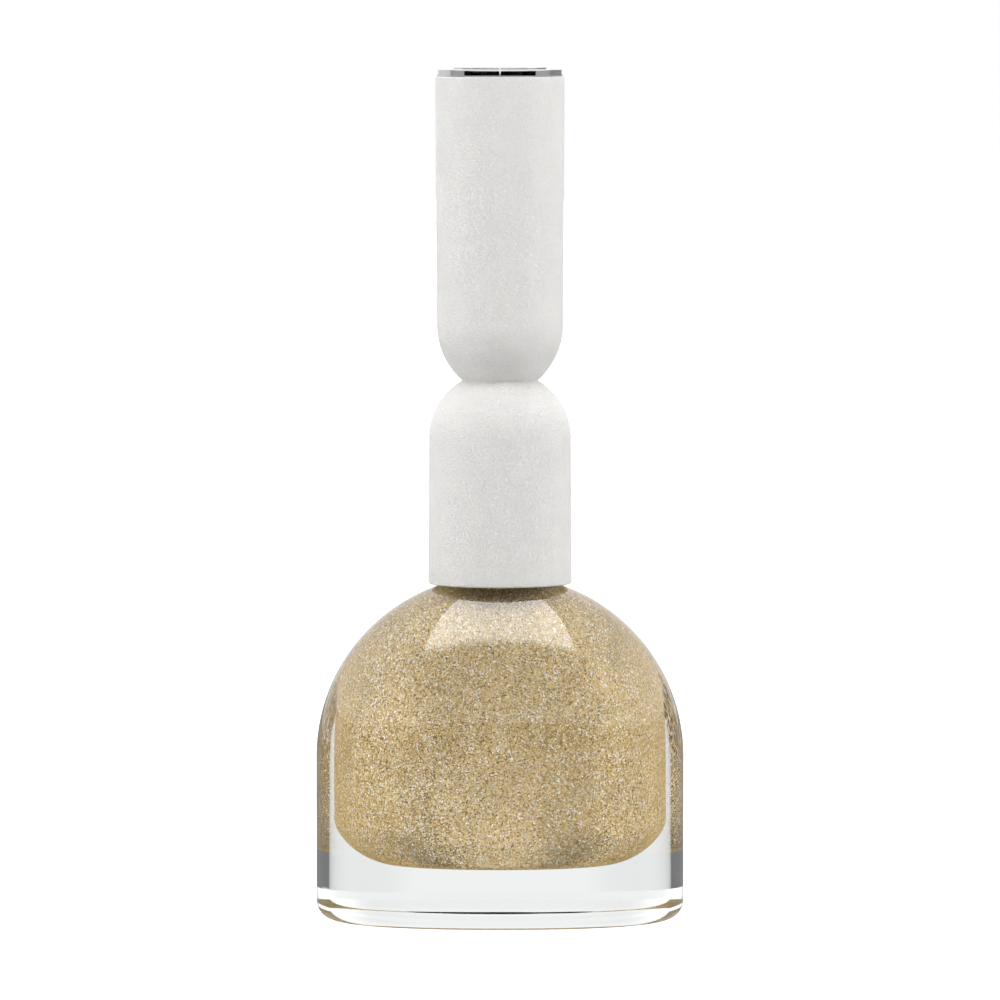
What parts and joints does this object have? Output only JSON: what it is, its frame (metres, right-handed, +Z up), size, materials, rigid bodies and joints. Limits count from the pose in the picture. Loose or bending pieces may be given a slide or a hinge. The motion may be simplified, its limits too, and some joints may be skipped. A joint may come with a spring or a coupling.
{
  "type": "nail polish bottle",
  "caption": "Clear glass nail polish bottle, half-round and oval, filled with gold glitter lacquer, with a tall waisted matte white cap that carries its brush.",
  "frame": {"origin": "centre of the bottle's base, on the surface it stands on", "axes": "+Z up through the neck and the cap, +X along the wide side of the oval, +Y along the narrow side"},
  "size_m": [0.041, 0.028, 0.0949],
  "materials": {
    "clear_glass": "clear polished glass with a faint cool tint at its edges",
    "gold_lacquer": "champagne gold glitter suspended in clear lacquer",
    "soft_touch_white": "off-white soft-touch coating with a fine leathery grain",
    "bright_chrome": "polished plated metal",
    "natural_plastic": "natural moulded polypropylene",
    "stem_plastic": "smooth black moulded plastic",
    "liner_foam": "white closed-cell foam",
    "bristle": "fine dark nylon bristles",
    "steel": "plain bright steel"
  },
  "bodies": {
    "bottle": {"glass_bottle": "clear_glass", "lacquer": "gold_lacquer"},
    "seal": {"seal_liner": "liner_foam"},
    "cap": {"outer_cap": "soft_touch_white", "inner_cap": "natural_plastic", "top_plate": "bright_chrome", "top_badge": "bright_chrome", "wand_stem": "stem_plastic", "bristle_tuft": "bristle", "anchor_staple": "steel"},
    "ball_1": {"mixing_ball_1": "steel"},
    "ball_2": {"mixing_ball_2": "steel"}
  },
  "joints": [
    {"name": "cap_lift", "type": "slide", "parent": "bottle", "child": "seal", "axis": [0, 0, 1], "range_m": [0, 0.05]},
    {"name": "cap_turn", "type": "hinge", "parent": "seal", "child": "cap", "pos_m": [0, 0, 0.048], "axis": [0, 0, 1], "range_deg": [0, 450]},
    {"name": "ball_1_roll", "type": "slide", "parent": "bottle", "child": "ball_1", "axis": [1, 0, 0], "range_m": [-0.003, 0.013]},
    {"name": "ball_2_roll", "type": "slide", "parent": "bottle", "child": "ball_2", "axis": [1, 0, 0], "range_m": [-0.012, 0.004]}
  ]
}
